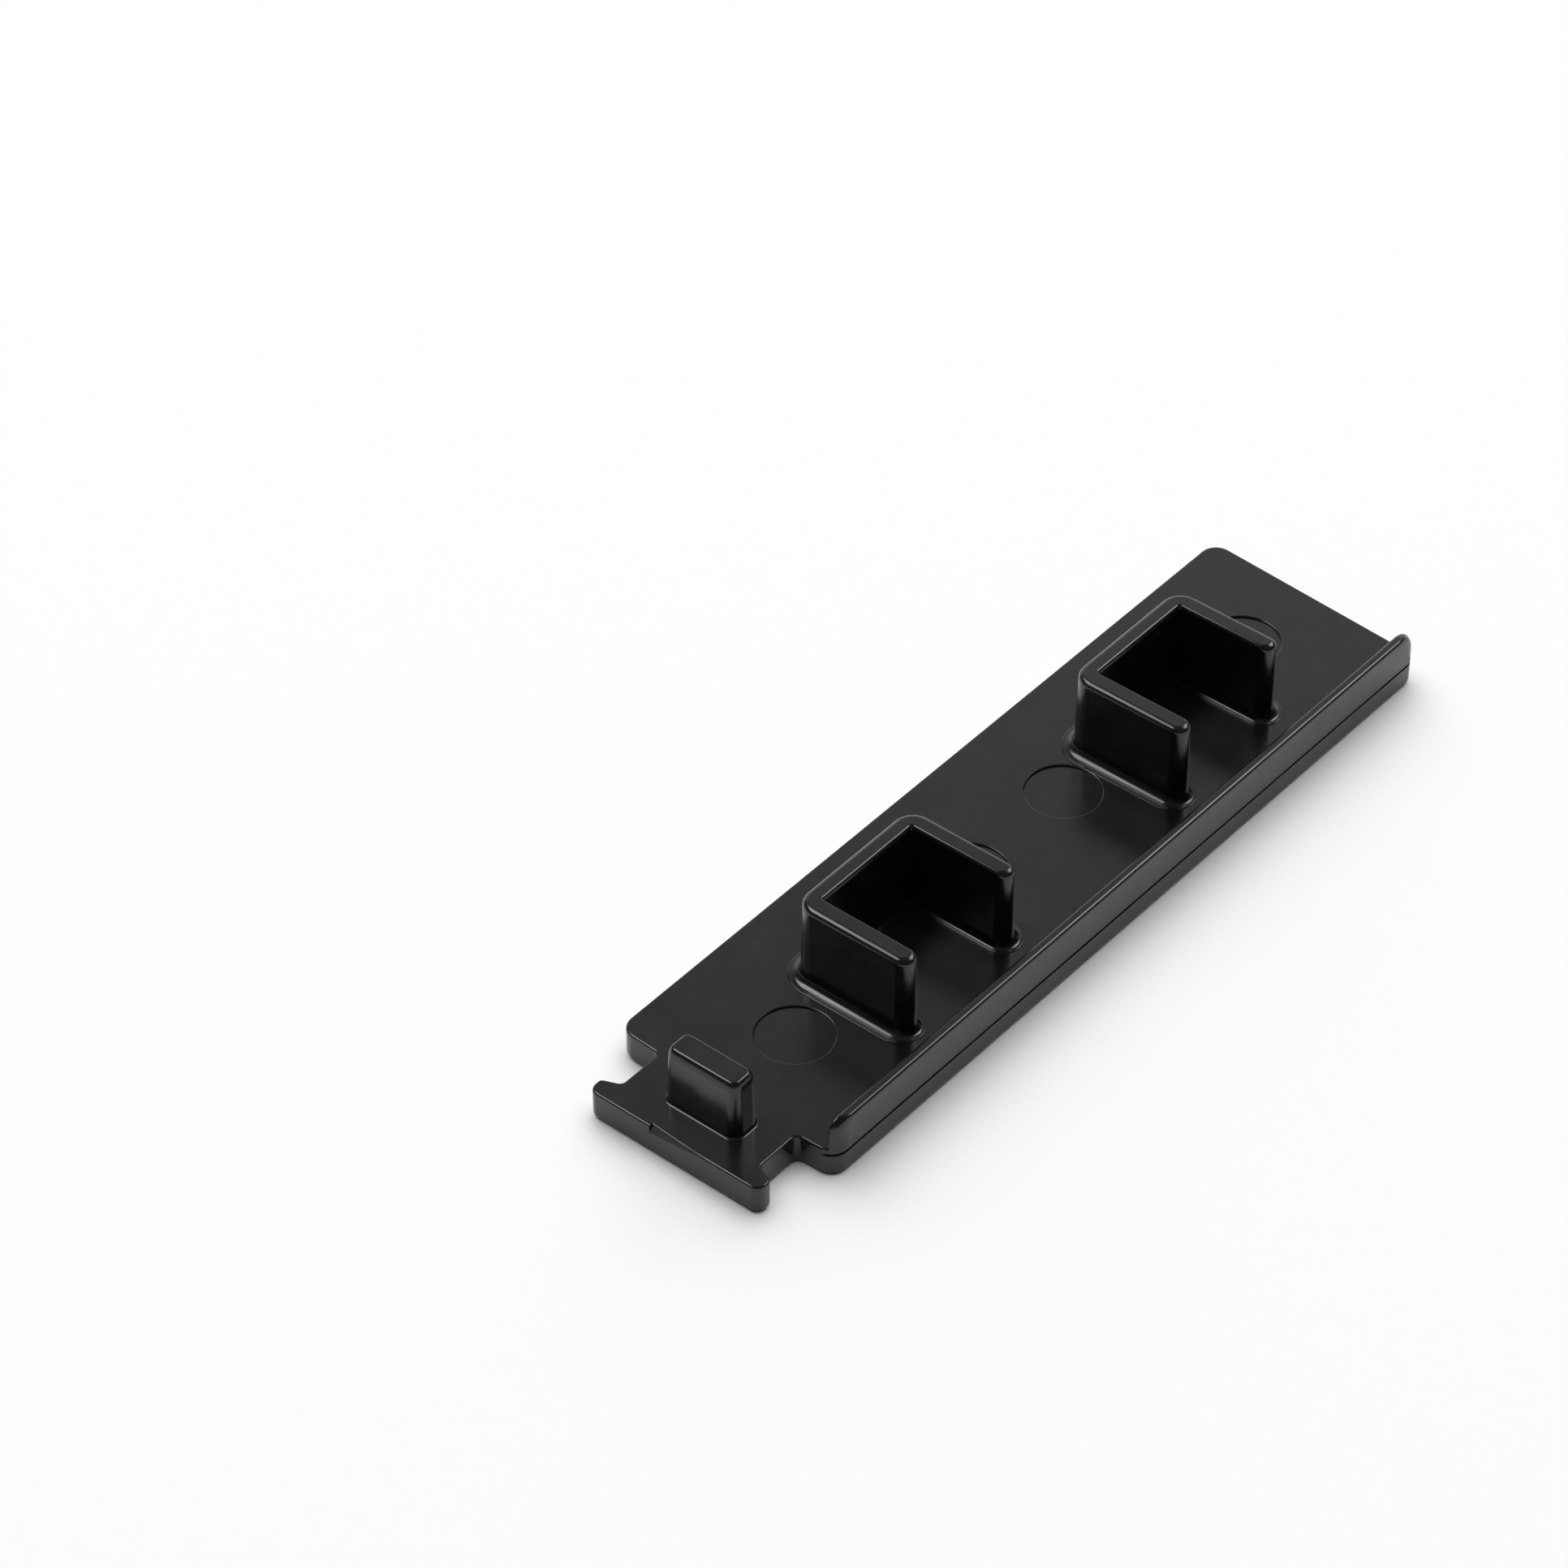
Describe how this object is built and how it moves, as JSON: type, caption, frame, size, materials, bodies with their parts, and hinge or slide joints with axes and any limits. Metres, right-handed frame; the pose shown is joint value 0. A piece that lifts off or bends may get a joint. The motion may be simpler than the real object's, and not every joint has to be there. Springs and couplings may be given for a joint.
{
  "type": "curtain rail end cap",
  "caption": "Moulded plastic end cap for a flat curtain rail, with a hooked head, locating tab, open channel bosses and a raised lip.",
  "frame": {"origin": "centre of the cap's bounding box at the level of its flat outer face, on which it lies", "axes": "+X from the hooked head along the plate to its plain end, +Y from the lip edge to the plain edge, +Z from the outer face towards the bosses"},
  "size_m": [0.0539, 0.014, 0.0068],
  "materials": {
    "moulded_plastic": "black, satin as moulded"
  },
  "bodies": {
    "root": {"end_cap": "moulded_plastic"}
  },
  "joints": []
}
